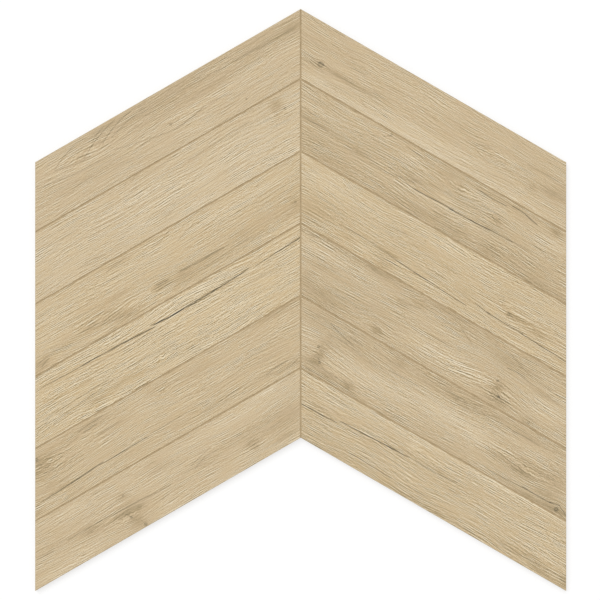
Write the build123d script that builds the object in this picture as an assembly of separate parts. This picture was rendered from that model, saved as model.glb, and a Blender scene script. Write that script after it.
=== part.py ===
from build123d import *

import os
from math import cos, floor, radians, sin, tan

# A chevron plank tile: one fired piece of porcelain shaped like a broad arrow.
# It lies face up, with X across it, Y towards its point and Z out of its face.
# The origin is under the middle of its outline, on the plane of its back.

# Arrow outline and planks, in millimetres and degrees
PLANK_LENGTH = 400.0
PLANK_WIDTH = 80.0
PLANKS_PER_ARM = 6
CHEVRON_ANGLE = 30.0
THICKNESS = 10.0
EDGE_TRIM = 1.8

# Joints scored across the face between the planks
JOINT_WIDTH = 1.6
JOINT_DEPTH = 0.8
JOINT_DRAFT = 25.0
PLANK_ARRIS = 0.25

# Bevels along the cut edges
FACE_BEVEL = 0.5
BACK_BEVEL = 0.4

# Keying cells pressed into the back, in a honeycomb
CELL_PITCH = 40.0
RIB_WIDTH = 5.0
CELL_DEPTH = 0.8
CELL_DRAFT = 35.0
RIM_WIDTH = 12.0

# Measures that follow from them
SLOPE = tan(radians(CHEVRON_ANGLE))
HALF_WIDTH = PLANK_LENGTH * cos(radians(CHEVRON_ANGLE))
ARM_DROP = PLANK_LENGTH * sin(radians(CHEVRON_ANGLE))
ARM_BREADTH = PLANKS_PER_ARM * PLANK_WIDTH + (PLANKS_PER_ARM - 1) * JOINT_WIDTH - 2 * EDGE_TRIM


def down_the_side(breadth):
    """The length along Y that an arm takes for a breadth measured square to its planks."""
    return breadth / cos(radians(CHEVRON_ANGLE))


ARM_SIDE = down_the_side(ARM_BREADTH)
POINT_Y = (ARM_SIDE + ARM_DROP) / 2
NOTCH_Y = POINT_Y - ARM_SIDE


def blank():
    """The solid arrow, with its face and back edges bevelled."""
    outline = Polyline(
        (0, POINT_Y),
        (HALF_WIDTH, POINT_Y - ARM_DROP),
        (HALF_WIDTH, NOTCH_Y - ARM_DROP),
        (0, NOTCH_Y),
        (-HALF_WIDTH, NOTCH_Y - ARM_DROP),
        (-HALF_WIDTH, POINT_Y - ARM_DROP),
        close=True,
    )
    arrow = extrude(make_face(outline), amount=THICKNESS)
    arrow = chamfer(arrow.faces().sort_by(Axis.Z)[-1].edges(), length=FACE_BEVEL)
    return chamfer(arrow.faces().sort_by(Axis.Z)[0].edges(), length=BACK_BEVEL)


def joint_section():
    """Section of a joint on the XZ plane: eased plank edges, drafted walls and a flat floor."""
    lip = JOINT_WIDTH / 2
    brow = lip + PLANK_ARRIS
    floor_half = lip - (JOINT_DEPTH - PLANK_ARRIS) * tan(radians(JOINT_DRAFT))
    above = PLANK_ARRIS
    return Plane.XZ * make_face(
        Polyline(
            (-brow, above),
            (-brow, 0),
            (-lip, -PLANK_ARRIS),
            (-floor_half, -JOINT_DEPTH),
            (floor_half, -JOINT_DEPTH),
            (lip, -PLANK_ARRIS),
            (brow, 0),
            (brow, above),
            close=True,
        )
    )


def joint(start, turn, length):
    """A joint's cut, from a point on the face, turned away from +Y and running for a length."""
    cut = extrude(joint_section(), amount=-length)
    return Pos(start[0], start[1], THICKNESS) * Rot(Z=turn) * cut


def centre_joint():
    """The joint down the middle, out through the point and the notch."""
    overrun = JOINT_WIDTH
    start = (0, NOTCH_Y - overrun)
    return joint(start, 0, ARM_SIDE + 2 * overrun)


def arm_joints():
    """The joints between the planks of both arms, from the middle out through the sides."""
    overrun = JOINT_WIDTH
    cuts = []
    for number in range(1, PLANKS_PER_ARM):
        breadth = number * PLANK_WIDTH + (number - 0.5) * JOINT_WIDTH - EDGE_TRIM
        start = (0, POINT_Y - down_the_side(breadth))
        for side in (-1, 1):
            turn = -side * (90 + CHEVRON_ANGLE)
            cuts.append(joint(start, turn, PLANK_LENGTH + overrun))
    return cuts


def cell():
    """One keying cell: a six-sided recess whose walls lean in towards its floor."""
    flat_to_flat = CELL_PITCH - RIB_WIDTH
    mouth = RegularPolygon(flat_to_flat / 2, 6, major_radius=False)
    return extrude(mouth, amount=CELL_DEPTH, taper=CELL_DRAFT)


def cell_places():
    """Middles of the cells that clear the rim, in columns across the back.

    Each column is half a pitch lower than the one before it, so at 30 degrees the rows run
    along the arms, and the rim is as wide along the slopes as along the sides.
    """
    flat_to_flat = CELL_PITCH - RIB_WIDTH
    clearance = RIM_WIDTH + flat_to_flat / 2 / cos(radians(30))
    column_step = CELL_PITCH * cos(radians(30))
    room = ARM_SIDE - 2 * down_the_side(clearance)
    rows = floor(room / CELL_PITCH) + 1
    columns = floor((HALF_WIDTH - clearance) / column_step)
    places = []
    for column in range(-columns, columns + 1):
        x = column * column_step
        arm_middle = (POINT_Y + NOTCH_Y) / 2 - abs(x) * SLOPE
        for row in range(-rows, rows + 1):
            y = (POINT_Y + NOTCH_Y) / 2 + (row + (rows - 1 - abs(column)) / 2) * CELL_PITCH
            if abs(y - arm_middle) <= room / 2:
                places.append((x, y))
    return places


def chevron_tile():
    """The whole tile: its joints scored into the face and its cells pressed into the back."""
    pressed = cell()
    cells = [Pos(x, y) * pressed for x, y in cell_places()]
    return blank() - [centre_joint(), *arm_joints(), *cells]


os.makedirs("parts", exist_ok=True)
export_step(chevron_tile(), "parts/chevron_tile.step")
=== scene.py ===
from math import cos, floor, radians, sin, tan

import bmesh
import bpy
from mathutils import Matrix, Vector


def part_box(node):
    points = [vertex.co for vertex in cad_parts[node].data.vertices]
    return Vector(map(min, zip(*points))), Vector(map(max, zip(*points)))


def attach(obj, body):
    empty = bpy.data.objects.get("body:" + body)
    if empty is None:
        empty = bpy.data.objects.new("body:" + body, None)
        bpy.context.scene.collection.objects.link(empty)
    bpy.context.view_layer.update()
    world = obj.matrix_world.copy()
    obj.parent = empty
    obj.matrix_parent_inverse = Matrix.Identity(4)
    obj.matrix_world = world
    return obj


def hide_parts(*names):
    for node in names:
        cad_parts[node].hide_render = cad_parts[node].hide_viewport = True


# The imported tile, which lies face up with its point along +Y
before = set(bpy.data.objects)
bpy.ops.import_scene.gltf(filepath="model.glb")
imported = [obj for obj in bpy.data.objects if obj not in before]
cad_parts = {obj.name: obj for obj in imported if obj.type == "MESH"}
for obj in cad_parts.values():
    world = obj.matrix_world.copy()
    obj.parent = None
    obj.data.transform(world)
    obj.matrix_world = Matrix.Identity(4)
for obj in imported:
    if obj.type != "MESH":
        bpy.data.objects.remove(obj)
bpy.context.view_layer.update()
NODE = "chevron_tile"
MM = 0.001

# The tile's own sizes, in millimetres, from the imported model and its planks
ANGLE = radians(30)
LOW, HIGH = (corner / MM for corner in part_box(NODE))
HALF_WIDTH = HIGH.x
POINT_Y = HIGH.y
THICKNESS = HIGH.z
ARM_SIDE = HIGH.y - LOW.y - HALF_WIDTH * tan(ANGLE)
ARM_BREADTH = ARM_SIDE * cos(ANGLE)
PLANKS_PER_ARM = 6
PLANK_WIDTH = 80.0
JOINT_WIDTH = 1.6
JOINT_DEPTH = 0.8
PLANK_ARRIS = 0.25
JOINT_REACH = JOINT_WIDTH / 2 + PLANK_ARRIS
PLANK_PITCH = PLANK_WIDTH + JOINT_WIDTH
EDGE_TRIM = (PLANKS_PER_ARM * PLANK_PITCH - JOINT_WIDTH - ARM_BREADTH) / 2

# The photograph, taken straight down: how many millimetres of the face it is across, and how far
# the tile is off its middle
PHOTO_WIDTH = 782.64
PHOTO_OFFSET = (0.9, -0.01)
LENS = 150.0
SENSOR = 36.0
# How far the camera sees, in metres
CAMERA_REACH = 100.0

# The studio: its light from all round, and a broad lamp above one side
SKY_STRENGTH = 0.7
LAMP_STRENGTH = 1.1
LAMP_ANGLE = radians(40)
LAMP_TURN = (radians(-24), radians(-18), 0)

# The floor, in metres: how far it reaches, how far under the tile it is, its grey and its glow
FLOOR_REACH = 12.0
FLOOR_DROP = 0.0002
FLOOR_GREY = 0.4
FLOOR_GLOW = 0.62


def linear(colour):
    """A colour given as sRGB numbers from 0 to 255, as scene-linear numbers with alpha."""
    parts = [c / 255 for c in colour]
    return (*(c / 12.92 if c <= 0.04045 else ((c + 0.055) / 1.055) ** 2.4 for c in parts), 1.0)


class Signal:
    """A number that varies over the surface. Its arithmetic adds nodes to its tree."""

    def __init__(self, tree, socket):
        self.tree = tree
        self.socket = socket

    def math(self, operation, *others):
        return arithmetic(self.tree, operation, self, *others)

    def __add__(self, other):
        return self.math("ADD", other)

    def __sub__(self, other):
        return self.math("SUBTRACT", other)

    def __rsub__(self, other):
        return arithmetic(self.tree, "SUBTRACT", other, self)

    def __mul__(self, other):
        return self.math("MULTIPLY", other)

    def __truediv__(self, other):
        return self.math("DIVIDE", other)

    def __neg__(self):
        return self.math("MULTIPLY", -1.0)

    __radd__ = __add__
    __rmul__ = __mul__

    def above(self, limit):
        return self.math("MAXIMUM", limit)

    def below(self, limit):
        return self.math("MINIMUM", limit)

    def squared(self):
        return self.math("MULTIPLY", self)

    def root(self):
        return self.math("SQRT")

    def bell(self):
        """1 where the signal is 0, falling off smoothly on both sides of it."""
        return (-self.squared()).math("EXPONENT")

    def ramp(self, low, high):
        """A smooth step from 0 at low to 1 at high."""
        node = self.tree.nodes.new("ShaderNodeMapRange")
        node.interpolation_type = "SMOOTHSTEP"
        for name, value in (("Value", self), ("From Min", low), ("From Max", high)):
            plug(self.tree, node.inputs[name], value)
        return Signal(self.tree, node.outputs[0])


def arithmetic(tree, operation, *values):
    node = tree.nodes.new("ShaderNodeMath")
    node.operation = operation
    for socket, value in zip(node.inputs, values):
        plug(tree, socket, value)
    return Signal(tree, node.outputs[0])


def plug(tree, socket, value):
    """Links a signal to a socket, or sets the socket to a plain number."""
    if isinstance(value, Signal):
        tree.links.new(value.socket, socket)
    else:
        socket.default_value = value


def vector_of(tree, x, y, z=0.0):
    node = tree.nodes.new("ShaderNodeCombineXYZ")
    for socket, value in zip(node.inputs, (x, y, z)):
        plug(tree, socket, value)
    return node.outputs[0]


class Shared:
    """A formula that is written once as a node group and placed wherever it is called."""

    def __init__(self, formula):
        self.formula = formula
        self.groups = {}

    def __call__(self, *values):
        tree = next(value.tree for value in values if isinstance(value, Signal))
        if tree.bl_idname not in self.groups:
            self.groups[tree.bl_idname] = self.written(tree.bl_idname, len(values))
        node = tree.nodes.new(tree.bl_idname.replace("Tree", "Group"))
        node.node_tree = self.groups[tree.bl_idname]
        for socket, value in zip(node.inputs, values):
            plug(tree, socket, value)
        return Signal(tree, node.outputs[0])

    def written(self, kind, count):
        group = bpy.data.node_groups.new(self.formula.__name__, kind)
        for number in range(count):
            group.interface.new_socket(str(number), in_out="INPUT", socket_type="NodeSocketFloat")
        group.interface.new_socket("result", in_out="OUTPUT", socket_type="NodeSocketFloat")
        given = group.nodes.new("NodeGroupInput")
        result = group.nodes.new("NodeGroupOutput")
        signals = [Signal(group, given.outputs[number]) for number in range(count)]
        group.links.new(self.formula(*signals).socket, result.inputs[0])
        return group


# How far apart in x and in y the noise of two seeds is
SEED_STEP = (37.31, 23.17)


@Shared
def noise(x, y, seed):
    """Smooth noise about zero, with about one bump or hollow in each unit of x and of y."""
    tree = x.tree
    node = tree.nodes.new("ShaderNodeTexNoise")
    node.noise_dimensions = "2D"
    node.inputs["Scale"].default_value = 1.0
    node.inputs["Detail"].default_value = 0.0
    place = vector_of(tree, x + seed * SEED_STEP[0], y + seed * SEED_STEP[1])
    tree.links.new(place, node.inputs["Vector"])
    return Signal(tree, node.outputs[0]) - 0.5


def bumps(along, across, pattern, seed=0.0):
    """Noise in a pattern: length and breadth of its bumps in millimetres, its strength and key."""
    length, breadth, strength, key = pattern
    return noise(along / length, across / breadth, seed + key) * strength


def layered(along, across, patterns, seed=0.0):
    """Several patterns of noise, one over another."""
    return sum(bumps(along, across, pattern, seed) for pattern in patterns)


def plank_place(tree, position, arm, row):
    """Distances along and across a plank, in millimetres, from the top of its end at the centre.

    arm is 1 for the right arm and -1 for the left one, and row counts down from the point."""
    node = tree.nodes.new("ShaderNodeSeparateXYZ")
    tree.links.new(position, node.inputs[0])
    out = Signal(tree, node.outputs[0]) * (arm / MM)
    down = POINT_Y - Signal(tree, node.outputs[1]) / MM
    top = row_top(row)
    along = out * cos(ANGLE) + down * sin(ANGLE) - top * tan(ANGLE)
    across = down * cos(ANGLE) - out * sin(ANGLE) - top
    return along, across


def row_top(row):
    """How far across its arm a row's upper joint has its middle. The first row starts at the edge."""
    return row * PLANK_PITCH - JOINT_WIDTH / 2 - EDGE_TRIM if row else 0.0


# What is printed on each plank, by its arm and row, in millimetres along and across the plank
# tone: mean level of the print, from 0 to 255
# contrast: strength of the fine grain
# warmth: strength of its colour
# seed: what sets its noise apart from the other planks'
# bends: where the grain parts or arches: place, length, breadth, how far it lifts and spreads
# ripples: wavy grain: place, length, breadth, amount
# patches: darker or paler places: place, length, breadth, change of level
# knots: place, radius, darkness
# lines: cracks and dark streaks: both ends, sag in the middle, half width, darkness
PLANKS = {}
PLANKS[-1, 0] = dict(
    tone=176.5, contrast=0.74, warmth=0.99, seed=1,
    bends=[(330, 22, 50, 16, 0, 9)],
    ripples=[(300, 16, 45, 10, 0.2)],
    patches=[
        (210, 78, 365, 10, 3), (300, 6, 25, 4, -12), (160, 6, 160, 7, -12), (60, 16, 50, 3, -12),
        (22, 18, 18, 7, -14), (210, 16, 80, 4, -10), (225, 27, 80, 10, -8), (160, 30, 40, 5, -6),
        (95, 26, 70, 5, -6), (313, 23, 10, 4, -8), (341, 24, 9, 3, -16), (370, 16, 20, 5, 4),
        (327, 25, 13, 3, 6), (355, 35, 35, 4, 6), (350, 53, 45, 5, -10), (310, 60, 20, 4, -4),
        (385, 47, 30, 5, -4), (115, 39, 45, 6, 6), (195, 42, 25, 4, 4), (190, 67, 25, 10, 6),
        (265, 63, 40, 2, 8), (135, 50, 30, 5, 4), (24, 63, 7, 10, -10), (336, 6, 13, 3, 6),
        (250, 3, 15, 3, -6), (100, 15, 20, 3, -4), (80, 75, 30, 4, -4),
    ],
    knots=[(222, 45, 1.5, 34), (120, 66, 0.9, 42), (335, 28, 0.9, 20)],
    lines=[
        (280, 3, 344, 28, -2.5, 0.6, 34), (256, 5, 314, 25, -4.5, 0.6, 34),
        (324, 6, 385, 23, -5.5, 0.5, 34), (332, 29, 385, 22, 2.5, 0.7, 24),
        (238, 10, 300, 23, -2.5, 0.7, 24), (300, 5, 324, 16, -1.5, 0.6, 22),
        (300, 42, 420, 31, 2.5, 0.8, 28), (222, 54, 306, 36, 1, 0.7, 24), (170, 46, 225, 54, 2, 0.7, 28),
        (250, 66, 300, 60, 1, 0.6, 20), (14, 17, 186, 13, 1, 0.9, 12), (19, 18, 113, 16, 1, 0.9, 12),
        (123, 53, 170, 46, -1, 0.6, 20), (70, 55, 140, 58, -1, 0.6, 18), (337, 52, 431, 54, 1.5, 0.6, 16),
    ],
)
PLANKS[-1, 1] = dict(
    tone=182.3, contrast=0.95, warmth=1.0, seed=2,
    bends=[(40, 24, 18, 10, 0, 4)],
    ripples=[(103, 63, 40, 16, 0.5), (69, 33, 30, 16, 0.4)],
    patches=[
        (210, 3, 365, 10, -4), (45, 14, 10, 9, -20), (43, 31, 16, 8, -6), (130, 19, 70, 2, -10),
        (335, 74, 40, 4, -6), (350, 67, 10, 4, -6), (255, 4, 20, 3, -12), (315, 36, 50, 2, -6),
        (280, 64, 20, 7, 6), (265, 27, 40, 4, 10), (175, 49, 80, 8, 3), (241, 65, 13, 8, -4),
        (135, 55, 30, 2, -12), (50, 78, 25, 4, 6), (436, 67, 13, 6, -6), (408, 17, 16, 5, -4),
    ],
    knots=[(37, 22.5, 1, 40)],
    lines=[
        (35, 20, 38, 26, 0, 0.3, 34), (82, 15, 183, 20, -1, 0.6, 24), (186, 4, 243, 8, 0.5, 0.6, 20),
        (348, 24, 413, 22, 1, 0.6, 18), (212, 39, 335, 41, 0, 0.6, 16), (140, 56, 233, 58, 1, 0.6, 20),
        (285, 69, 379, 70, 0, 0.6, 18),
    ],
)
PLANKS[-1, 2] = dict(
    tone=177.9, contrast=0.92, warmth=1.04, seed=3,
    bends=[(337, 60, 40, 12, 0, 6), (418, 70, 23, 10, 4, 0)],
    ripples=[(200, 13, 60, 9, 0.6), (277, 60, 20, 8, 0.4)],
    patches=[
        (280, 9, 16, 4, -6), (348, 61, 23, 6, -8), (350, 61, 8, 3, -8), (330, 47, 40, 3, -6),
        (300, 43, 20, 3, -10), (316, 65, 18, 5, -12), (300, 73, 20, 6, -14), (431, 71, 10, 6, -14),
        (387, 65, 37, 4, -6), (253, 61, 6, 4, -18), (241, 59, 11, 5, -18), (217, 66, 18, 8, -12),
        (211, 58, 13, 2, -14), (170, 59, 23, 3, -14), (178, 67, 42, 6, -10), (123, 56, 16, 7, -8),
        (80, 57, 70, 13, -6), (40, 55, 8, 7, -12), (48, 65, 16, 5, -8), (275, 63, 16, 8, 4),
        (140, 14, 45, 8, 9), (75, 17, 40, 8, 8), (238, 17, 42, 8, 8), (395, 27, 42, 16, 5),
        (350, 70, 80, 3, -3), (328, 78, 13, 3, -8), (323, 58, 10, 4, -8), (126, 25, 30, 4, 6),
        (212, 3, 16, 3, 4), (442, 77, 8, 4, -8), (406, 15, 13, 4, -6),
    ],
    knots=[(39, 54, 1.2, 26)],
    lines=[
        (324, 43, 395, 45, -1, 0.6, 20), (300, 49, 371, 60, -1, 0.7, 12), (296, 72, 369, 60, 1.5, 0.7, 16),
        (311, 53.5, 353, 60, -0.5, 0.7, 10), (306, 67, 356, 61, 1, 0.7, 10),
        (384, 70, 442, 72, -4.5, 0.8, 24), (418, 70, 434, 76, -1, 0.8, 28),
        (232, 57.5, 252, 56.5, 1, 1.1, 26), (147, 58, 217, 56, 1.5, 1.4, 26),
        (230, 63.5, 256, 64, 0, 0.8, 20), (264, 6.5, 300, 11, -1, 0.8, 20), (280, 13, 290, 7, 0, 0.7, 12),
        (212, 10, 233, 12, 0, 0.5, 34), (196, 4, 212, 8, -0.5, 0.7, 24), (157, 10, 199, 22, -1, 0.6, 24),
        (144, 12, 165, 14.5, 0, 0.6, 22), (82, 64, 186, 69, -1, 0.6, 18), (361, 18.5, 408, 17, 0, 0.6, 18),
    ],
)
PLANKS[-1, 3] = dict(
    tone=182.4, contrast=1.34, warmth=1.07, seed=4,
    bends=[(360, 63, 60, 16, 4, 0), (250, 62, 30, 8, 0, 4)],
    ripples=[(243, 62, 47, 9, 0.8), (95, 62, 57, 12, 0.7), (360, 62, 52, 12, 0.5)],
    patches=[
        (346, 63, 12, 10, -9), (316, 64, 16, 4, -13), (285, 63, 23, 4, -10), (343, 67, 16, 3, -12),
        (238, 64, 23, 4, -3), (97, 65, 40, 4, -5), (165, 6, 40, 5, 13), (204, 19, 10, 3, 8),
        (134, 52, 52, 8, 11), (256, 56, 16, 4, 12), (147, 21, 40, 2, -12), (254, 21, 16, 2.5, -16),
        (300, 20, 35, 2, -4), (395, 37, 16, 3, -12), (350, 39, 23, 3, -16), (225, 37, 16, 5, -8),
        (410, 56, 30, 3, 8), (40, 34, 16, 16, 3), (165, 77, 57, 4, 6), (150, 11, 50, 4, 6),
        (392, 3, 23, 4, 8), (285, 3, 16, 3, 6),
    ],
    knots=[],
    lines=[
        (311, 18, 403, 17, 0.5, 0.5, 70), (229, 22.5, 343, 18.5, -1.5, 0.7, 85),
        (234, 21, 300, 20, 0, 0.9, 24), (186, 20, 238, 17, 1, 0.7, 55), (85, 17, 238, 18.5, 2.5, 1.1, 85),
        (-2, 15, 83, 19.5, -0.5, 0.6, 60), (3, 15.5, 45, 17.5, 0, 0.9, 28),
        (212, 30.5, 285, 31.5, 0, 0.7, 22), (311, 51, 423, 56, -1, 0.7, 28),
        (311, 55.5, 400, 63, -1, 0.7, 24), (369, 62, 431, 68.5, 0, 0.7, 22),
        (223, 68.5, 290, 70, 0, 0.7, 24), (223, 52.5, 285, 53.5, -1, 0.7, 26),
        (217, 54.5, 264, 58, 0, 0.7, 24), (165, 65, 212, 67.5, 0, 0.7, 20),
        (29, 33.5, 97, 31.5, 1, 0.7, 22), (56, 51.5, 108, 50, 1, 0.7, 22), (233, 26, 337, 25, 0, 0.7, 22),
    ],
)
PLANKS[-1, 4] = dict(
    tone=175.6, contrast=0.82, warmth=1.02, seed=5,
    bends=[(403, 24, 30, 18, 0, 8), (223, 15, 16, 10, 0, 5)],
    ripples=[(343, 15, 47, 16, 0.6), (74, 69, 35, 7, 0.6), (390, 46, 30, 23, 0.5)],
    patches=[
        (404, 23, 18, 13, -18), (384, 19, 16, 4, -9), (370, 38, 42, 10, -8), (324, 8, 30, 6, -10),
        (370, 12, 42, 5, -8), (403, 52, 13, 5, -8), (387, 62, 16, 2.5, -20), (264, 68, 80, 5, -4),
        (40, 3, 42, 4, -14), (251, 18, 13, 16, 3), (142, 38, 16, 7, 9), (202, 46, 52, 8, 5),
        (225, 11, 16, 5, -5), (170, 19, 30, 5, -5), (160, 67, 42, 4, -7), (82, 68, 30, 4, -7),
        (300, 27, 30, 4, -7), (82, 59, 52, 5, 3), (442, 74, 16, 5, -15), (35, 74, 16, 5, -18),
        (332, 61, 13, 4, 8), (415, 30, 9, 5, -8), (366, 24, 13, 4, -5), (269, 59, 16, 2.5, 6),
        (400, 78, 16, 2.5, -6), (435, 65, 10, 4, -6),
    ],
    knots=[(405.5, 14, 1.8, 40)],
    lines=[
        (379, 62, 429, 64, 0, 0.6, 55), (330, 59, 384, 62.5, 0.5, 0.7, 75),
        (264, 59, 340, 60.5, 0.5, 0.5, 75), (212, 58, 275, 59, 0, 0.5, 36),
        (170, 58.5, 220, 58, 0, 0.6, 20), (300, 6.5, 343, 10, -1, 0.8, 24),
        (311, 11.5, 335, 13, 0, 0.8, 24), (280, 24.5, 322, 25.5, -1, 0.7, 20),
        (56, 64.5, 92, 67.5, -1, 0.8, 26), (45, 70.5, 84, 73.5, 1, 0.8, 24),
        (369, 51.5, 395, 53, 0, 0.8, 22), (204, 7.5, 223, 15.5, 0, 0.6, 16),
        (392, 25.5, 408, 20, 0, 0.7, 20), (343, 15, 361, 17.5, 0, 0.7, 20), (369, 74, 400, 76, 0, 0.7, 20),
    ],
)
PLANKS[-1, 5] = dict(
    tone=177.2, contrast=0.73, warmth=0.995, seed=6,
    bends=[(288, 55, 30, 16, 0, 8), (336, 48, 16, 8, 0, 3), (103, 57, 20, 10, 0, 4)],
    ripples=[(170, 38, 35, 9, 0.5), (285, 53, 30, 16, 0.5), (300, 9, 30, 7, 0.4)],
    patches=[
        (343, 47, 13, 7, -16), (286, 48, 26, 7, -12), (300, 50, 16, 3, -16), (273, 53, 8, 4, -16),
        (285, 63, 9, 12, -18), (277, 74, 6, 6, -8), (286, 28, 8, 4, -16), (285, 38, 13, 7, -5),
        (105, 53, 10, 7, -15), (103, 60, 6, 4, -14), (120, 14, 110, 6, 5), (50, 5, 20, 2.5, 15),
        (45, 48, 35, 16, -11), (60, 67, 18, 4, -14), (108, 38, 52, 6, -10), (82, 51, 30, 5, -4),
        (173, 42, 30, 3, -10), (225, 21, 20, 6, -9), (230, 10, 8, 5, -5), (355, 12, 26, 7, 5),
        (400, 42, 30, 5, -8), (395, 73, 52, 5, 8), (360, 64, 35, 8, 4), (212, 33, 30, 2, 5),
        (56, 3, 63, 3, 7), (247, 3, 18, 3, 8), (328, 51, 7, 4, -8), (238, 76, 23, 3, 6),
        (240, 67, 16, 6, 6),
    ],
    knots=[(289, 58.5, 1.3, 32), (284, 28.5, 1.1, 34), (277, 75.5, 1.6, 34), (100, 60, 0.9, 20)],
    lines=[
        (397, 46, 425, 45, 0, 0.8, 32), (322, 43.5, 378, 43, -0.5, 0.8, 28),
        (285, 44.5, 332, 43, 0, 0.9, 30), (220, 46.5, 290, 44, 0.5, 0.6, 38),
        (287, 60.5, 293, 51, 0, 0.8, 22), (277, 77, 280, 66.5, 0, 0.8, 22), (152, 32, 189, 40, -1, 0.7, 22),
        (165, 38, 186, 45.5, 0, 0.7, 20), (186, 29.5, 223, 32.5, 0, 0.7, 20),
        (309, 4.5, 318, 8, 0, 0.7, 20), (9, 3.5, 45, 5, 0, 0.7, 18),
    ],
)
PLANKS[1, 0] = dict(
    tone=175.1, contrast=0.72, warmth=1.0, seed=7,
    bends=[(59, 50, 12, 9, 0, 6), (310, 39, 23, 16, 0, 7), (132, 64, 13, 9, 0, 4), (381, 50, 16, 10, 0, 3)],
    ripples=[(308, 37, 30, 20, 0.4), (391, 47, 30, 13, 0.5)],
    patches=[
        (104, 51, 30, 3, -22), (50, 51, 13, 4, -16), (78, 50, 18, 2.5, -9), (143, 47, 16, 5, -8),
        (303, 40, 23, 6, -5), (402, 44, 18, 5, -14), (378, 50, 7, 5, -13), (386, 26, 26, 3, -5),
        (260, 29, 35, 6, -8), (91, 21, 23, 8, -7), (104, 31, 16, 3, -10), (157, 31, 26, 4, -5),
        (40, 29, 42, 8, -5), (334, 16, 8, 16, -4), (330, 34, 16, 4, 8), (235, 61, 80, 7, 9),
        (225, 74, 180, 4, 12), (222, 13, 20, 6, 5), (65, 67, 20, 8, 8), (415, 34, 16, 10, -8),
        (357, 2, 23, 3, 6), (92, 59, 16, 3, 5),
    ],
    knots=[(59, 49.5, 3.1, 36)],
    lines=[
        (386, 46.5, 438, 43.5, 1, 0.8, 14), (376, 56, 376, 47, 0, 0.8, 14),
        (284, 41.5, 313, 28.5, -1.5, 0.6, 16), (287, 43, 316, 52, 1, 0.6, 16),
        (316, 28.5, 334, 41.5, -1, 0.6, 16), (123, 61.5, 141, 68.5, 1, 0.6, 18),
        (357, 27.5, 407, 27, 0, 0.7, 20), (386, 31.5, 391, 38.5, 0, 0.6, 16),
        (44, 53.5, 68, 56, 0, 0.6, 18), (50, 3, 68, 3.5, 0, 0.6, 18),
    ],
)
PLANKS[1, 1] = dict(
    tone=173.0, contrast=0.96, warmth=1.01, seed=8,
    bends=[(250, 18, 16, 9, 0, 5), (314, 33, 16, 9, 0, 5), (230, 20, 30, 9, 0, 3), (136, 10, 16, 8, 0, 3)],
    ripples=[(378, 54, 57, 20, 0.6), (284, 62, 30, 8, 0.7), (235, 18, 42, 10, 0.5), (157, 67, 30, 8, 0.5)],
    patches=[
        (222, 84, 365, 16, -7), (52, 25, 42, 5, 8), (39, 14, 30, 4, -4), (138, 4, 5, 3, 8),
        (230, 12, 18, 10, -9), (287, 7, 30, 4, -12), (339, 6, 30, 4, -8), (389, 7, 10, 5, -24),
        (177, 18, 18, 5, 10), (300, 18, 26, 4, 6), (252, 20, 7, 9, -9), (397, 23, 42, 6, 10),
        (34, 40, 16, 4, -9), (55, 41, 30, 4, -7), (115, 45, 18, 5, -16), (52, 58, 30, 8, -7),
        (90, 70, 80, 13, -3), (193, 39, 16, 4, -13), (316, 32, 10, 6, -11), (310, 47, 16, 3, -10),
        (243, 41, 16, 5, 12), (235, 52, 52, 2, 13), (248, 63, 13, 6, -13), (277, 69, 16, 8, -12),
        (326, 70, 16, 10, -10), (222, 71, 42, 5, -7), (378, 63, 52, 13, -10), (417, 78, 42, 5, -11),
        (310, 78, 18, 4, -7), (145, 4, 8, 2.5, -6), (70, 77, 20, 3, 5), (85, 44, 16, 4, -5),
    ],
    knots=[(139, 3.5, 1.3, 36), (250.5, 20.5, 0.9, 22), (316, 28.5, 0.9, 24), (325, 66, 0.9, 18)],
    lines=[
        (130, 48.5, 198, 49.5, 0, 0.8, 24), (196, 50.5, 260, 49, -0.5, 0.6, 85),
        (250, 50.5, 314, 47.5, 0, 0.7, 85), (300, 48, 347, 46.5, -0.5, 0.6, 50),
        (337, 46.5, 376, 45, 0, 0.5, 38), (270, 9, 317, 8.5, 1.5, 0.6, 50),
        (321, 5.5, 344, 6.5, -0.5, 0.6, 55), (342, 6.5, 363, 10, 0.5, 0.6, 65),
        (162, 7.5, 209, 10.5, 0.5, 0.7, 24), (167, 47, 198, 43, 0, 0.8, 22),
        (130, 11, 141, 4.5, 0, 0.8, 26), (16, 33, 63, 31, 0, 0.8, 22), (23, 41, 68, 40.5, 0, 0.8, 24),
        (209, 33, 316, 30, 1.5, 0.7, 20), (297, 31, 321, 34, -1, 0.7, 20), (305, 29, 319, 38.5, 0, 0.7, 18),
        (248, 24, 250, 13, 0, 0.7, 24), (270, 24, 321, 24.5, 0, 0.7, 18), (347, 17.5, 386, 19, 0, 0.6, 18),
    ],
)
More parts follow.
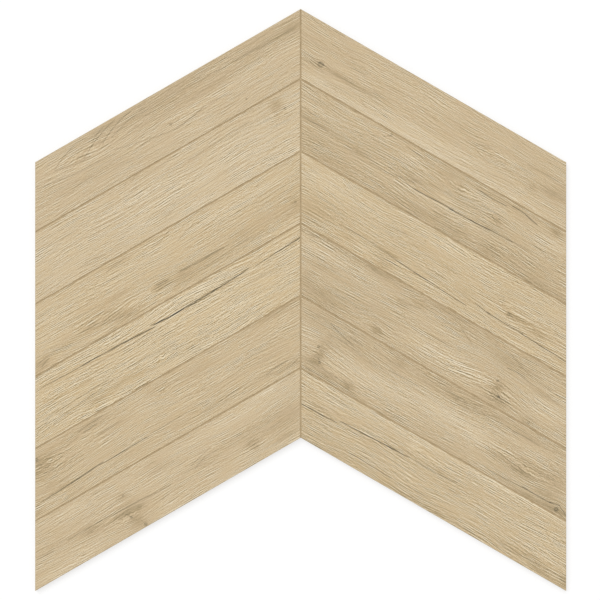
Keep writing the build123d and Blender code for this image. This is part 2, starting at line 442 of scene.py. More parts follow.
PLANKS[1, 2] = dict(
    tone=177.1, contrast=1.01, warmth=1.045, seed=9,
    bends=[(339, 46, 23, 13, 0, 5), (330, 17, 52, 16, -2.5, 0), (222, 65, 37, 8, 0, 2)],
    ripples=[(330, 17, 37, 16, 0.9), (235, 48, 42, 8, 0.6), (277, 38, 42, 13, 0.5)],
    patches=[
        (65, 17, 70, 13, 10), (230, 14, 30, 10, 7), (78, 42, 52, 4, -5), (65, 56, 30, 7, -7),
        (44, 69, 23, 10, -7), (110, 67, 16, 5, -11), (125, 57, 30, 4, -7), (162, 58, 18, 3, -18),
        (167, 67, 16, 4, -11), (167, 77, 13, 7, -13), (136, 69, 16, 5, 3), (277, 54, 20, 10, -9),
        (342, 49, 7, 4, -12), (355, 48, 13, 3, -20), (386, 52, 16, 4, -15), (378, 50, 35, 6, -6),
        (326, 38, 8, 5, -9), (245, 38, 16, 4, -8), (391, 33, 30, 5, 7), (390, 77, 80, 2.5, 8),
        (391, 7, 52, 6, -3), (7, 4, 13, 4, 14), (175, 3, 18, 3, 12), (80, 78, 16, 3, -9),
        (324, 3, 10, 2.5, -5),
    ],
    knots=[(341, 49, 1.7, 26), (199.5, 20.5, 1, 20), (152, 17.5, 0.9, 18)],
    lines=[
        (164, 59, 230, 64, 0.5, 0.5, 65), (204, 62, 290, 66.5, 0.5, 0.6, 60),
        (295, 57.5, 321, 61, 0.5, 0.5, 50), (313, 60.5, 373, 62, 0.5, 0.7, 65),
        (365, 62.5, 441, 65.5, 0, 0.7, 70), (89, 58, 146, 57, 0, 0.6, 22), (217, 49.5, 250, 50, 0, 0.7, 22),
        (324, 32.5, 329, 43, 0, 0.7, 18), (141, 27, 177, 25, 0, 0.6, 24), (57, 16.5, 110, 18.5, 0, 0.6, 18),
        (337, 45, 350, 51, 0, 0.9, 22), (200, 55, 260, 55.5, 0.5, 0.6, 20),
        (44, 72.5, 104, 71.5, 0, 0.6, 18),
    ],
)
PLANKS[1, 3] = dict(
    tone=174.1, contrast=0.96, warmth=1.0, seed=10,
    bends=[(326, 50, 60, 24, 9, 6), (150, 69, 18, 10, 2.5, 2.5)],
    ripples=[(209, 16, 52, 10, 0.5), (65, 32, 42, 20, 0.4), (337, 63, 26, 16, 0.6)],
    patches=[
        (222, -1, 365, 13, -10), (222, 82, 365, 13, -5), (117, 4, 18, 3, -18), (86, 11, 5, 4, -8),
        (219, 2, 16, 4, -11), (300, 6, 16, 4, -6), (188, 13, 16, 4, -12), (250, 11, 20, 4, -5),
        (52, 17, 70, 7, 10), (167, 25, 13, 4, -13), (260, 19, 52, 7, -5), (334, 22, 30, 10, -12),
        (389, 35, 23, 4, -18), (47, 37, 23, 4, -9), (78, 56, 42, 7, -8), (73, 68, 37, 9, -15),
        (42, 55, 8, 8, -8), (146, 52, 42, 10, -6), (157, 72, 10, 4, -24), (337, 71, 17, 7, -22),
        (330, 56, 8, 8, -22), (385, 76, 11, 5, -13), (277, 56, 42, 5, 12), (222, 56, 52, 10, 8),
        (407, 52, 30, 13, 11), (230, 41, 20, 2.5, -14), (63, 78, 26, 3, -8), (318, 3, 20, 3, 12),
        (282, 66, 18, 4, 7), (437, 77, 16, 4, 5),
    ],
    knots=[(325, 49.5, 1.4, 32), (336.5, 67, 1.3, 34), (150.5, 65.5, 0.9, 22), (387.5, 76.5, 1.2, 20)],
    lines=[
        (249, 14.5, 274, 25, -0.5, 0.7, 22), (322, 10.5, 365, 24.5, 1, 0.8, 20),
        (365, 23.5, 417, 26.5, 1, 0.7, 24), (324, 52.5, 329, 45, 0, 0.8, 22),
        (332, 63, 345, 72.5, 0, 0.8, 24), (337, 70.5, 339, 63, 0, 0.8, 18),
        (326, 29.5, 357, 28.5, -1.5, 0.7, 24), (347, 29, 381, 32, 0, 0.7, 22),
        (157, 22, 193, 18.5, 1, 0.7, 24), (47, 33.5, 73, 32.5, 0, 0.7, 22),
        (224, 5, 260, 3.5, 0.5, 0.8, 24), (16, 5.5, 30, 4, 0, 0.8, 20), (350, 18, 376, 20.5, 0, 0.7, 18),
        (143, 65, 162, 68.5, 1, 0.8, 20),
    ],
)
PLANKS[1, 4] = dict(
    tone=175.0, contrast=0.93, warmth=0.995, seed=11,
    bends=[(55, 46, 60, 24, 9, 6), (376, 49, 40, 18, 0, 8), (423, 72, 23, 13, 5, 0)],
    ripples=[(370, 49, 52, 20, 0.7), (417, 36, 20, 16, 0.5), (110, 15, 42, 10, 0.5), (65, 62, 26, 16, 0.6)],
    patches=[
        (222, -2, 365, 13, -9), (222, 82, 365, 13, -9), (90, 20, 42, 10, -8), (34, 15, 26, 10, -8),
        (154, 12, 10, 10, -11), (222, 12, 47, 9, -14), (250, 15, 16, 4, -12), (287, 12, 30, 7, -10),
        (347, 11, 52, 5, -10), (391, 9, 26, 4, -4), (65, 35, 16, 8, -9), (117, 32, 30, 5, -6),
        (235, 37, 52, 11, 12), (146, 48, 47, 8, 8), (117, 61, 30, 8, 6), (292, 46, 26, 10, 7),
        (352, 24, 42, 3, 5), (365, 55, 18, 5, -28), (329, 52, 23, 5, -18), (365, 41, 20, 5, -11),
        (407, 44, 23, 16, -13), (407, 65, 20, 5, -15), (428, 76, 20, 4, -28), (60, 55, 7, 13, -24),
        (55, 67, 13, 4, -16), (83, 71, 16, 3, -18), (112, 71, 10, 7, -20), (300, 71, 16, 3, 3),
        (389, 78, 20, 3, -18), (123, 78, 13, 3, -8), (27, 38, 13, 6, 6), (247, 8, 13, 2.5, 5),
        (386, 49, 10, 4, -6),
    ],
    knots=[(53.5, 46, 1.4, 34), (65, 63.5, 1.3, 36), (428, 75, 2.2, 44), (114, 73.5, 1.2, 20)],
    lines=[
        (46, 77, 104, 78.5, 0.5, 0.7, 34), (167, 75, 198, 76, 0, 0.7, 22),
        (321, 74.5, 386, 71, 0.5, 0.6, 36), (373, 71, 420, 71, 0.5, 0.7, 55),
        (415, 71, 430, 68.5, 0, 0.7, 65), (428, 68, 448, 78.5, 0, 0.7, 50), (52, 49, 58, 41.5, 0, 0.8, 22),
        (60, 59.5, 74, 68.5, 0, 0.8, 24), (50, 11.5, 94, 22.5, 1, 0.8, 30),
        (83, 14.5, 104, 16.5, 0, 0.7, 20), (260, 11.5, 277, 8, 0, 0.7, 24),
        (326, 14.5, 370, 14.5, -1, 0.8, 28), (55, 26.5, 86, 24.5, -1, 0.7, 24),
        (78, 25, 110, 28.5, 0, 0.7, 20), (146, 27, 198, 24.5, 0, 0.7, 20),
        (227, 12.5, 258, 11.5, 0, 0.7, 20), (115, 10, 146, 16.5, 0, 0.7, 18),
    ],
)
PLANKS[1, 5] = dict(
    tone=175.7, contrast=1.12, warmth=1.03, seed=12,
    bends=[(193, 17, 18, 10, 0, 5)],
    ripples=[(193, 16, 23, 12, 0.4), (65, 56, 30, 16, 0.3)],
    patches=[
        (300, 2, 183, 6, 15), (104, 9, 104, 7, 6), (180, 10, 8, 6, 10), (222, 18, 42, 3, 10),
        (204, 27, 52, 4, -8), (227, 25, 10, 4, -8), (146, 59, 20, 8, 3), (104, 68, 80, 8, -5),
        (136, 43, 16, 3, -3), (47, 42, 26, 2.5, -12), (260, 70, 104, 7, -6), (222, 76, 52, 2.5, -18),
        (256, 77, 10, 2.5, -9), (381, 63, 30, 4, -18), (402, 73, 16, 4, -20), (441, 68, 10, 8, -28),
        (410, 51, 30, 8, 4), (326, 38, 80, 10, 3), (47, 33, 20, 2, -12), (330, 3, 65, 3, 8),
        (65, 77, 30, 3, -8), (420, 75, 16, 4, -8), (104, 77, 83, 2.5, -6), (360, 76, 30, 2.5, -6),
        (423, 52, 18, 5, -8), (345, 67, 16, 4, -6), (50, 70, 16, 4, -5),
    ],
    knots=[(192, 16, 0.9, 16)],
    lines=[
        (23, 40, 78, 38, 0.5, 0.6, 80), (77, 34.5, 185, 30.5, 0, 0.6, 90), (188, 30, 224, 31.5, 1, 0.7, 28),
        (222, 30.5, 253, 27.5, 0.5, 0.5, 55), (146, 31.5, 167, 30.5, 0, 0.9, 22),
        (350, 69.5, 402, 67.5, 0, 0.8, 24), (390, 67, 438, 65.5, 0.5, 0.8, 18),
        (112, 64, 177, 65.5, 0.5, 0.7, 30), (193, 64, 235, 64.5, 0, 0.7, 22),
        (123, 44.5, 177, 46.5, -1, 0.6, 18), (34, 55.5, 50, 56, 0, 0.8, 26), (29, 32.5, 52, 32, 0, 0.8, 20),
        (386, 43.5, 417, 44.5, 0, 0.6, 20), (193, 13.5, 204, 20.5, 0, 0.7, 18),
        (34, 48, 78, 50, 0, 0.7, 18),
    ],
)

# Colours of the print from its darkest cracks to its palest grain, by level
PALETTE = {
    60: (64, 59, 43),
    99: (112, 98, 67),
    125: (142, 126, 92),
    152: (175, 154, 117),
    169: (194, 171, 135),
    181: (206, 183.5, 147),
    193: (215, 197, 161),
    206: (224, 208.5, 179),
    228: (235, 222, 195),
}

# Patterns of noise on a plank: length and breadth of their bumps, strength in levels, and a key
# that sets each apart from the others
BANDS = ((70, 25, 6, 0.51), (300, 25, 7, 0.58))
STREAKS = ((1.5, 1.05, 42, 0.11), (8, 1, 14, 0.18), (300, 1, 12, 0.25))
# Fine lines, each of which has a paler copy a step beside it
LINES = ((6, 0.8, 39, 0.71), (20, 0.8, 56, 0.78), (60, 0.8, 67, 0.85))
LINE_STEP = 0.85
# How far across the plank things wander, in millimetres: all the grain, its ripples, its fine
# streaks, and the cracks, which follow a part of the streaks' way too
WAVE = (120, 60, 10, 0.1)
RIPPLE = (4.5, 7, 2, 0.9)
WANDER = (20, 9, 0.7, 0.4)
CRACK_WANDER = (45, 40, 1.4, 0.97)
CRACK_FOLLOWS = 0.4
# How much stronger and weaker things get from place to place, as a share: the fine grain, the
# stains, the cracks and the colour
VIGOUR = (55, 16, 1.2, 0.8)
LEAST_VIGOUR = 0.3
STAIN_SHARE = (7, 2.5, 0.8, 0.95)
CRACK_SHARE = (16, 6, 0.5, 0.93)
TINT = (22, 5, 0.085, 0.03)
# By how much one level of a stain changes the grain in it, and how far that can go
CALM_RATE = 0.014
CALM_RANGE = (0.6, 1.25)
# How much colour a crack loses for each level of its darkness
CRACK_GREYING = 0.002

# The thinnest that a line gets, in millimetres, and the part of its length over which it fades
THINNEST = 0.1
LINE_FADE = 0.2
# Shares of a knot's darkness in its eye and in the ring round it, and how sharp the ring is
EYE_SHARE = 0.45
RING_SHARE = 0.75
RING_SHARPNESS = 2.5

# Carved grain, in millimetres: its lines and hollows, its usual and greatest depth, and how far
# in from the plank's edge it starts and is full
CARVED = ((90, 3.6, 0.16, 0.61), (35, 13, 0.1, 0.62))
GRAIN_DEPTH = 0.07
MOST_DEPTH = 0.3
CARVED_FROM = (0.3, 2.5)
# Knots are carved too, and cracks from a darkness on: depth for each level, and extra breadth
DEEP_DARKNESS = 28
CRACK_DEPTH = 0.0025
CRACK_EXTRA = 0.5
KNOT_DEPTH = 0.002
KNOT_EXTRA = 0.8

# Noise in the bare and glazed surfaces: size of its bumps along two ways, strength and key
PORES = ((14, 1.2, 1, 21), (4, 1, 0.6, 22))
GLAZE = ((9, 9, 1, 31), (1.6, 1.6, 0.6, 32))
PRESS_LINES = (60, 1.1, 1, 44)
CUT_MARKS = (5, 3, 0.6, 45)
CLOUDS = ((70, 70, 1, 46), (18, 18, 0.5, 47))
RUBBED = ((2.2, 40, 1, 48), (1.2, 12, 0.7, 49))
# The body's speckle: size of its bumps, their lean with height, strength and key
SPECKLE = ((0.9, 1, 0.7, 41), (0.5, -1, 0.7, 42), (3.5, 1, 0.5, 43))
EDGE_LEAN = 1.7
# Shares of the speckle, of the edge's layers and of the back's clouds in the body's colour
SPECKLE_SHARE = 0.9
LAYER_SHARE = 0.7
CLOUD_SHARE = 0.4

# Kiln wash on the back: it lies in clouds and rubbed streaks, and less of it in the cells
RUBBED_SHARE = 0.3
WASH_LEVEL = 0.45
WASH_BY_HEIGHT = 1.4
WASH_RANGE = (-0.05, 0.45)
WASH_STRENGTH = 0.75
WASH_RELIEF = 0.4

# Darker and paler colours of the joints and of the fired body, and the colours laid over them
JOINT_BROWNS = ((177, 155, 118), (191, 170, 134))
EDGE_BODY = ((190, 172, 145), (214, 200, 176))
BACK_BODY = ((184, 166, 140), (208, 193, 169))
PRINT_SKIN = (200, 180, 145)
KILN_WASH = (226, 220, 208)
# Depths under the face between which the print's skin ends on the edges, in millimetres
SKIN_DEPTHS = (0.75, 0.45)

# Steps into which a plank's face is divided along and across it
PLANK_STEPS = (100, 72)

# The tile's flat map for its pictures, as parts of a unit square
MAP_GAP = 0.004
PLANK_CELL = (0.492, 0.115)
BACK_CELL = (0.4, 0.268)
STRIP_CELL = (0.288, 0.0175)

# How close points are that are merged, and places that count as one, in millimetres
MERGED = 0.001
SAME_PLACE = 0.01
# How close directions are within one flat face, and those that count as one
FLAT = radians(0.5)
SAME_WAY = radians(1)
# The bevel round the tile lies within this distance of its outline
BEVEL_REACH = 1.0


@Shared
def bell_at(along, across, a, b, length, breadth):
    """1 at a place on the plank, falling off smoothly over a length and a breadth."""
    away = ((along - a) / length).squared() + ((across - b) / breadth).squared()
    return (-away).math("EXPONENT")


def oak_flow(along, across, plank):
    """Distance across the plank as its grain runs."""
    seed = plank["seed"]
    flow = across + bumps(along, across, WAVE, seed)
    for a, b, length, breadth, lift, spread in plank["bends"]:
        parting = lift - (across - b) * (spread / breadth)
        flow = flow + bell_at(along, across, a, b, length, breadth) * parting
    ripple = bumps(along, across, RIPPLE, seed)
    for a, b, length, breadth, amount in plank["ripples"]:
        flow = flow + bell_at(along, across, a, b, length, breadth) * ripple * amount
    return flow


@Shared
def line_mark(along, across, a, b, far_a, far_b, sag, half_width):
    """1 along the middle of a tapered line between two places, and 0 away from it."""
    way = (along - a) / (far_a - a)
    arch = (way * (1.0 - way) * 4.0).above(0.0)
    middle = way * (far_b - b) + b + arch * sag
    lens = (arch.root().root() * half_width).above(THINNEST)
    return ((across - middle) / lens).bell() * arch.ramp(0.0, LINE_FADE)


@Shared
def knot_mark(along, across, a, b, radius):
    """A knot's dark eye with a ring round it."""
    away = (((along - a) / radius).squared() + ((across - b) / radius).squared()).root()
    return away.bell() * EYE_SHARE + ((away - 1.0) * RING_SHARPNESS).bell() * RING_SHARE


def fine_grain(along, fine, seed):
    """Short and long streaks, and fine lines that are dark on one side and pale on the other."""
    grain = layered(along, fine, STREAKS, seed)
    for line in LINES:
        dark = bumps(along, fine, line, seed)
        pale = bumps(along, fine + LINE_STEP, line, seed)
        grain = grain + dark - pale
    return grain


def oak_print(along, across, plank):
    """The level of the print, from 0 to 255, and how much its lines and knots darken it."""
    seed = plank["seed"]
    flow = oak_flow(along, across, plank)
    wander = bumps(along, flow, WANDER, seed)
    fine = flow + wander
    stain = 0.0
    for *place, change in plank["patches"]:
        stain = bell_at(along, across, *place) * change + stain
    vigour = (bumps(along, flow, VIGOUR, seed) + 1.0).above(LEAST_VIGOUR)
    calm = (stain * CALM_RATE + 1.0).above(CALM_RANGE[0]).below(CALM_RANGE[1])
    grain = fine_grain(along, fine, seed) * vigour * calm * plank["contrast"]
    stain = stain * (bumps(along, fine, STAIN_SHARE, seed) + 1.0)
    level = grain + stain + layered(along, flow, BANDS, seed) + plank["tone"]
    broken = bumps(along, fine, CRACK_SHARE, seed) + 1.0
    shaken = across + wander * CRACK_FOLLOWS + bumps(along, across, CRACK_WANDER, seed)
    marks = 0.0
    for *place, darkness in plank["lines"]:
        marks = line_mark(along, shaken, *place) * broken * darkness + marks
    for *place, darkness in plank["knots"]:
        marks = knot_mark(along, shaken, *place) * darkness + marks
    return level - marks, marks


def shader_tree(name):
    """A new material with its node tree and its shader node."""
    material = bpy.data.materials.new(name)
    material.use_nodes = True
    tree = material.node_tree
    return material, tree, tree.nodes["Principled BSDF"]


def finish(tree, shader, colour, roughness, relief, depth):
    """Gives a shader its colour and roughness, and fine relief to a depth in millimetres."""
    tree.links.new(colour, shader.inputs["Base Color"])
    shader.inputs["Roughness"].default_value = roughness
    bump = tree.nodes.new("ShaderNodeBump")
    bump.inputs["Distance"].default_value = depth * MM
    tree.links.new(relief.socket, bump.inputs["Height"])
    tree.links.new(bump.outputs[0], shader.inputs["Normal"])


def object_place(tree):
    return tree.nodes.new("ShaderNodeTexCoord").outputs["Object"]


def palette_colour(level):
    """The print's colour at a level."""
    tree = level.tree
    node = tree.nodes.new("ShaderNodeValToRGB")
    levels = sorted(PALETTE)
    span = levels[-1] - levels[0]
    elements = node.color_ramp.elements
    while len(elements) < len(levels):
        elements.new(0.5)
    for element, at in zip(elements, levels):
        element.position = (at - levels[0]) / span
        element.color = linear(PALETTE[at])
    plug(tree, node.inputs[0], (level - levels[0]) / span)
    return node.outputs[0]


def plank_material(arm, row):
    """Matt porcelain with one plank's oak print."""
    side = "left" if arm < 0 else "right"
    material, tree, shader = shader_tree(f"oak_print_{side}_{row + 1}")
    along, across = plank_place(tree, object_place(tree), arm, row)
    plank = PLANKS[arm, row]
    level, marks = oak_print(along, across, plank)
    warmth = tree.nodes.new("ShaderNodeHueSaturation")
    tint = bumps(along, across, TINT, plank["seed"]) + plank["warmth"]
    plug(tree, warmth.inputs["Saturation"], tint - marks * CRACK_GREYING)
    tree.links.new(palette_colour(level), warmth.inputs["Color"])
    pores = layered(along, across, PORES)
    finish(tree, shader, warmth.outputs[0], roughness=0.6, relief=pores, depth=0.08)
    return material


def split_place(tree):
    """The place on the tile in millimetres, as three signals."""
    node = tree.nodes.new("ShaderNodeSeparateXYZ")
    tree.links.new(object_place(tree), node.inputs[0])
    return [Signal(tree, output) / MM for output in node.outputs]


def blended(tree, colours, share):
    """A colour between two, by a share from 0 to 1."""
    node = tree.nodes.new("ShaderNodeMix")
    node.data_type = "RGBA"
    plug(tree, node.inputs["Factor"], share)
    for name, colour in zip(("A", "B"), colours):
        socket = next(i for i in node.inputs if i.name == name and i.type == "RGBA")
        if isinstance(colour, tuple):
            socket.default_value = linear(colour)
        else:
            tree.links.new(colour, socket)
    return next(o for o in node.outputs if o.type == "RGBA")


def as_share(signal):
    """A signal about zero, as a share from 0 to 1."""
    return (signal + 0.5).above(0.0).below(1.0)


def joint_material():
    """The brown glaze in the joints, a little uneven."""
    material, tree, shader = shader_tree("joint_brown")
    x, y, z = split_place(tree)
    uneven = layered(x, y, GLAZE)
    colour = blended(tree, JOINT_BROWNS, as_share(uneven))
    finish(tree, shader, colour, roughness=0.75, relief=uneven, depth=0.1)
    return material


def body_speckle(x, y, z):
    """The fired body's fine speckle, about zero."""
    return sum(
        noise(x / size + z * lean, y / size - z * lean, key) * strength
        for size, lean, strength, key in SPECKLE
    )


def body_material():
    """The bare porcelain body of the tile's edges, with the lines left by the press and the cut."""
    material, tree, shader = shader_tree("porcelain_body")
    x, y, z = split_place(tree)
    layers = bumps(x + y, z, PRESS_LINES) + bumps(x - y, z, CUT_MARKS)
    share = as_share(body_speckle(x, y, z * EDGE_LEAN) * SPECKLE_SHARE + layers * LAYER_SHARE)
    skin = z.ramp(*(THICKNESS - depth for depth in SKIN_DEPTHS))
    colour = blended(tree, (blended(tree, EDGE_BODY, share), PRINT_SKIN), skin)
    finish(tree, shader, colour, roughness=0.8, relief=share, depth=0.12)
    return material


def back_material():
    """The back: the same body, with pale kiln wash dusted over its ribs."""
    material, tree, shader = shader_tree("porcelain_back")
    x, y, z = split_place(tree)
    cloud = layered(x, y, CLOUDS)
    dusting = cloud + layered(x, y, RUBBED) * RUBBED_SHARE + WASH_LEVEL - z * WASH_BY_HEIGHT
    wash = dusting.ramp(*WASH_RANGE) * WASH_STRENGTH
    share = as_share(body_speckle(x, y, z) * SPECKLE_SHARE + cloud * CLOUD_SHARE)
    colour = blended(tree, (blended(tree, BACK_BODY, share), KILN_WASH), wash)
    relief = share + wash * WASH_RELIEF
    finish(tree, shader, colour, roughness=0.85, relief=relief, depth=0.12)
    return material


def grain_depth(along, across, out, plank, row):
    """How deep the grain is carved into a plank's face, in millimetres."""
    flow = oak_flow(along, across, plank)
    depth = layered(along, flow, CARVED, plank["seed"]) + GRAIN_DEPTH
    for *place, half_width, darkness in plank["lines"]:
        if darkness >= DEEP_DARKNESS:
            groove = line_mark(along, across, *place, half_width + CRACK_EXTRA)
            depth = depth + groove * (darkness * CRACK_DEPTH)
    for a, b, radius, darkness in plank["knots"]:
        reach = radius + KNOT_EXTRA
        depth = depth + bell_at(along, across, a, b, reach, reach) * (darkness * KNOT_DEPTH)
    top = JOINT_REACH if row else 0.0
    inward = (across - top).below(top + PLANK_WIDTH - across).below(out).below(HALF_WIDTH - out)
    return depth.above(0.0).below(MOST_DEPTH) * inward.ramp(*CARVED_FROM)


def carving(arm, row, slot):
    """A tree that moves the points of one plank's face down by the depth of its grain."""
    tree = bpy.data.node_groups.new("carving", "GeometryNodeTree")
    tree.interface.new_socket("tile", in_out="INPUT", socket_type="NodeSocketGeometry")
    tree.interface.new_socket("tile", in_out="OUTPUT", socket_type="NodeSocketGeometry")
    position = tree.nodes.new("GeometryNodeInputPosition").outputs[0]
    along, across = plank_place(tree, position, arm, row)
    out = along * cos(ANGLE) - across * sin(ANGLE)
    depth = grain_depth(along, across, out, PLANKS[arm, row], row)
    slot_here = Signal(tree, tree.nodes.new("GeometryNodeInputMaterialIndex").outputs[0])
    move = tree.nodes.new("GeometryNodeSetPosition")
    tree.links.new(tree.nodes.new("NodeGroupInput").outputs[0], move.inputs["Geometry"])
    closeness = 0.1
    plug(tree, move.inputs["Selection"], slot_here.math("COMPARE", float(slot), closeness))
    tree.links.new(vector_of(tree, 0.0, 0.0, depth * -MM), move.inputs["Offset"])
    tree.links.new(move.outputs[0], tree.nodes.new("NodeGroupOutput").inputs[0])
    return tree


def carve(piece, slots):
    """Carves the grain into the faces of all the planks."""
    trees = [carving(arm, row, slot) for (arm, row), slot in slots.items()]
    for tree in trees:
        piece.modifiers.new("carving", "NODES").node_group = tree
    carved = piece.evaluated_get(bpy.context.evaluated_depsgraph_get())
    piece.data = bpy.data.meshes.new_from_object(carved)
    piece.modifiers.clear()
    for tree in trees:
        bpy.data.node_groups.remove(tree)


def packed_faces():
    """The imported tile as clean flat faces."""
    shape = bmesh.new()
    shape.from_mesh(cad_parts[NODE].data)
    bmesh.ops.remove_doubles(shape, verts=shape.verts, dist=MERGED * MM)
    bmesh.ops.dissolve_limit(
        shape, angle_limit=FLAT, verts=shape.verts, edges=shape.edges, delimit=set()
    )
    return shape


def is_plank_top(face):
    height = face.calc_center_median().z / MM
    return face.normal.z > cos(SAME_WAY) and abs(height - THICKNESS) < SAME_PLACE


def across_arm(point):
    """Distance across its arm from the point's side, for a place in millimetres."""
    return (POINT_Y - point.y) * cos(ANGLE) - abs(point.x) * sin(ANGLE)


def edge_distance(point):
    """Distance in from the tile's outline, for a place in millimetres."""
    across = across_arm(point)
    return min(HALF_WIDTH - abs(point.x), across, ARM_BREADTH - across)


def plank_of(point):
    """The arm and row of the plank that a place in millimetres lies on."""
    row = floor((across_arm(point) + EDGE_TRIM) / PLANK_PITCH)
    return (-1 if point.x < 0 else 1), min(PLANKS_PER_ARM - 1, max(0, row))


def joint_of(point):
    """The arm and number of the joint that a place lies in, or (0, 0) for the one down the middle."""
    if abs(point.x) < JOINT_REACH:
        return 0, 0
    return (-1 if point.x < 0 else 1), round((across_arm(point) + EDGE_TRIM) / PLANK_PITCH)


def plank_on_map(arm, row, out, across):
    """Where a plank's face lies on the map, with its grain running straight along it."""
    top = row_top(row) + (JOINT_REACH if row else 0.0)
    left = MAP_GAP if arm < 0 else 0.5 + MAP_GAP / 2
    upper = 1.0 - MAP_GAP - row * (PLANK_CELL[1] + MAP_GAP)
    along_share = out / HALF_WIDTH
    across_share = (across - top) / (PLANK_WIDTH - 2 * PLANK_ARRIS)
    return left + along_share * PLANK_CELL[0], upper - across_share * PLANK_CELL[1]


def back_on_map(point):
    """Where a place on the back lies on the map."""
    u = (point.x - LOW.x) / (HIGH.x - LOW.x)
    v = (point.y - LOW.y) / (HIGH.y - LOW.y)
    return MAP_GAP + u * BACK_CELL[0], MAP_GAP + v * BACK_CELL[1]


def strip_on_map(column, line, along_share, across_share):
    """Where a place on a long thin strip lies on the map."""
    left = 2 * MAP_GAP + BACK_CELL[0] + column * (STRIP_CELL[0] + MAP_GAP)
    lower = MAP_GAP + line * (STRIP_CELL[1] + MAP_GAP)
    return left + along_share * STRIP_CELL[0], lower + across_share * STRIP_CELL[1]


def joint_on_map(arm, number, point):
    """Where a place in a joint lies on the map."""
    if number == 0:
        down = (POINT_Y - point.y) / ARM_SIDE
        return strip_on_map(0, 0, down, 0.5 + point.x / (2 * JOINT_REACH))
    middle = number * PLANK_PITCH - JOINT_WIDTH / 2 - EDGE_TRIM
    off = (across_arm(point) - middle) / (2 * JOINT_REACH)
    return strip_on_map((arm + 1) // 2, number, abs(point.x) / HALF_WIDTH, 0.5 + off)


def side_on_map(normal, point):
    """Where a place on an outer edge lies on the map."""
    column = 0 if normal.x < 0 else 1
    upright = point.z / THICKNESS
    if abs(normal.y) < cos(ANGLE) / 2:
        return strip_on_map(column, PLANKS_PER_ARM, (point.y - LOW.y) / (HIGH.y - LOW.y), upright)
    if normal.y > 0:
        return strip_on_map(column, PLANKS_PER_ARM + 1, abs(point.x) / HALF_WIDTH, upright)
    return strip_on_map(1 - column, PLANKS_PER_ARM + 2, abs(point.x) / HALF_WIDTH, upright)


def divided(corners, long_steps, short_steps):
    """Rows of points over a four-sided patch. The first two corners end its first long side."""
    a, b, c, d = corners
    rows = []
    for j in range(short_steps + 1):
        start = a.lerp(d, j / short_steps)
        end = b.lerp(c, j / short_steps)
        rows.append([start.lerp(end, i / long_steps) for i in range(long_steps + 1)])
    return rows


def corners_of(face):
    """A plank's four corners, first along its upper side and then back along its lower one."""
    points = [v.co.copy() for v in face.verts if is_corner(v, face)]
    points.sort(key=lambda p: (round(across_arm(p / MM)), abs(p.x)))
    return points[0], points[1], points[3], points[2]


def is_corner(vertex, face):
    loop = next(l for l in vertex.link_loops if l.face == face)
    return abs(loop.calc_angle() - radians(180)) > SAME_WAY


def add_plank(shape, layer, corners, arm, row, material):
    """Adds a plank's face as an even grid."""
    rows = divided(corners, *PLANK_STEPS)
    grid = [[shape.verts.new(point) for point in line] for line in rows]
    for upper, lower in zip(grid, grid[1:]):
        for i in range(PLANK_STEPS[0]):
            ring = [upper[i], upper[i + 1], lower[i + 1], lower[i]]
            face = shape.faces.new(ring if arm < 0 else ring[::-1])
            face.material_index = material
            face.smooth = True
            for loop in face.loops:
                point = loop.vert.co / MM
                loop[layer].uv = plank_on_map(arm, row, abs(point.x), across_arm(point))


def cut_joints_apart(shape):
    """Cuts the joints' faces where the arms' joints run into the middle one."""
    for side in (-1, 1):
        faces = [f for f in shape.faces if in_a_joint(f)]
        edges = {e for f in faces for e in f.edges}
        verts = {v for f in faces for v in f.verts}
        bmesh.ops.bisect_plane(
            shape,
            geom=[*faces, *edges, *verts],
            plane_co=(side * JOINT_REACH * MM, 0, 0),
            plane_no=(1, 0, 0),
            dist=SAME_PLACE * MM,
        )


def in_a_joint(face):
    """Whether a face is part of a joint's walls or floor."""
    centre = face.calc_center_median() / MM
    between = THICKNESS - JOINT_DEPTH - SAME_PLACE < centre.z < THICKNESS - SAME_PLACE
    return between and face.normal.z > sin(SAME_WAY) and edge_distance(centre) > BEVEL_REACH


def tile():
    """The tile, with its face divided finely and carved with the grain's relief."""
    materials = {
        (arm, row): plank_material(arm, row) for arm in (-1, 1) for row in range(PLANKS_PER_ARM)
    }
    slots = {key: number for number, key in enumerate(materials)}
    joint_slot, side_slot, back_slot = (len(slots) + number for number in range(3))
    shape = packed_faces()
    layer = shape.loops.layers.uv.new("OFBake")
    tops = [f for f in shape.faces if is_plank_top(f)]
    planks = [(corners_of(f), *plank_of(f.calc_center_median() / MM)) for f in tops]
    bmesh.ops.delete(shape, geom=tops, context="FACES_ONLY")
    cut_joints_apart(shape)
    for face in shape.faces:
        centre = face.calc_center_median() / MM
        if in_a_joint(face):
            face.material_index = joint_slot
            places = [joint_on_map(*joint_of(centre), loop.vert.co / MM) for loop in face.loops]
        elif face.normal.z > -sin(SAME_WAY):
            face.material_index = side_slot
            places = [side_on_map(face.normal, loop.vert.co / MM) for loop in face.loops]
        else:
            face.material_index = back_slot
            places = [back_on_map(loop.vert.co / MM) for loop in face.loops]
        for loop, place in zip(face.loops, places):
            loop[layer].uv = place
    for corners, arm, row in planks:
        add_plank(shape, layer, corners, arm, row, slots[arm, row])
    mesh = bpy.data.meshes.new("tile")
    shape.to_mesh(mesh)
    shape.free()
    for material in (*materials.values(), joint_material(), body_material(), back_material()):
        mesh.materials.append(material)
    piece = bpy.data.objects.new("tile", mesh)
    bpy.context.scene.collection.objects.link(piece)
    carve(piece, slots)
    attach(piece, "root")
    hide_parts(NODE)
    return piece


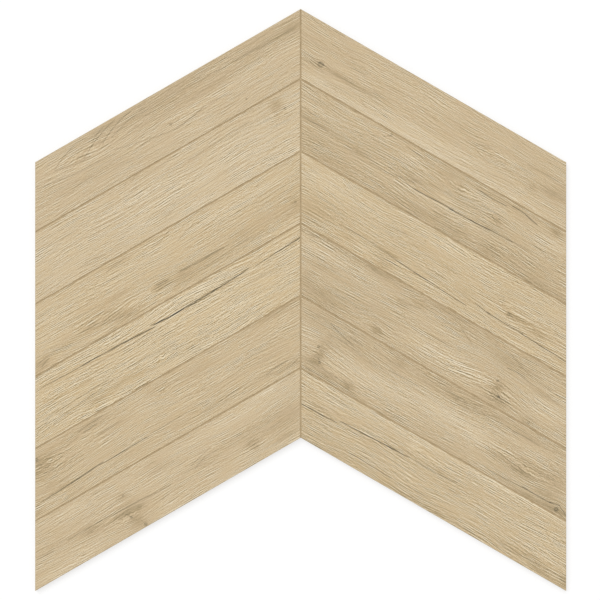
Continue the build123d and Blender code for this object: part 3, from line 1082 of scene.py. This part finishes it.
def camera():
    data = bpy.data.cameras.new("camera")
    data.sensor_width = SENSOR
    data.lens = LENS
    data.clip_end = CAMERA_REACH
    distance = PHOTO_WIDTH * LENS / SENSOR
    item = bpy.data.objects.new("camera", data)
    item.location = Vector((-PHOTO_OFFSET[0], -PHOTO_OFFSET[1], THICKNESS + distance)) * MM
    bpy.context.scene.collection.objects.link(item)
    bpy.context.scene.camera = item


def studio():
    """A soft even light: most of it from all round, and the rest from the lamp."""
    scene = bpy.context.scene
    world = bpy.data.worlds.new("studio")
    scene.world = world
    world.use_nodes = True
    sky = world.node_tree.nodes["Background"]
    sky.inputs["Strength"].default_value = SKY_STRENGTH
    sky.inputs["Color"].default_value = (1, 1, 1, 1)
    lamp = bpy.data.lights.new("lamp", "SUN")
    lamp.energy = LAMP_STRENGTH
    lamp.angle = LAMP_ANGLE
    item = bpy.data.objects.new("lamp", lamp)
    item.rotation_euler = LAMP_TURN
    scene.collection.objects.link(item)


def floor_plane():
    """A white floor under the tile."""
    mesh = bpy.data.meshes.new("floor")
    ends = (-FLOOR_REACH, FLOOR_REACH)
    corners = [(x, y, -FLOOR_DROP) for x in ends for y in ends]
    mesh.from_pydata(corners, [], [(0, 2, 3, 1)])
    item = bpy.data.objects.new("floor", mesh)
    bpy.context.scene.collection.objects.link(item)
    material, tree, shader = shader_tree("floor")
    shader.inputs["Base Color"].default_value = (FLOOR_GREY, FLOOR_GREY, FLOOR_GREY, 1)
    shader.inputs["Roughness"].default_value = 1.0
    glow = tree.nodes.new("ShaderNodeEmission")
    path = tree.nodes.new("ShaderNodeLightPath")
    seen = Signal(tree, path.outputs["Is Camera Ray"])
    seen = seen.above(Signal(tree, path.outputs["Is Glossy Ray"]))
    seen = seen.above(Signal(tree, path.outputs["Is Transmission Ray"]))
    plug(tree, glow.inputs["Strength"], seen * FLOOR_GLOW)
    both = tree.nodes.new("ShaderNodeAddShader")
    tree.links.new(shader.outputs[0], both.inputs[0])
    tree.links.new(glow.outputs[0], both.inputs[1])
    tree.links.new(both.outputs[0], tree.nodes["Material Output"].inputs["Surface"])
    mesh.materials.append(material)


bpy.context.scene.view_settings.view_transform = "Standard"
camera()
studio()
floor_plane()
tile()
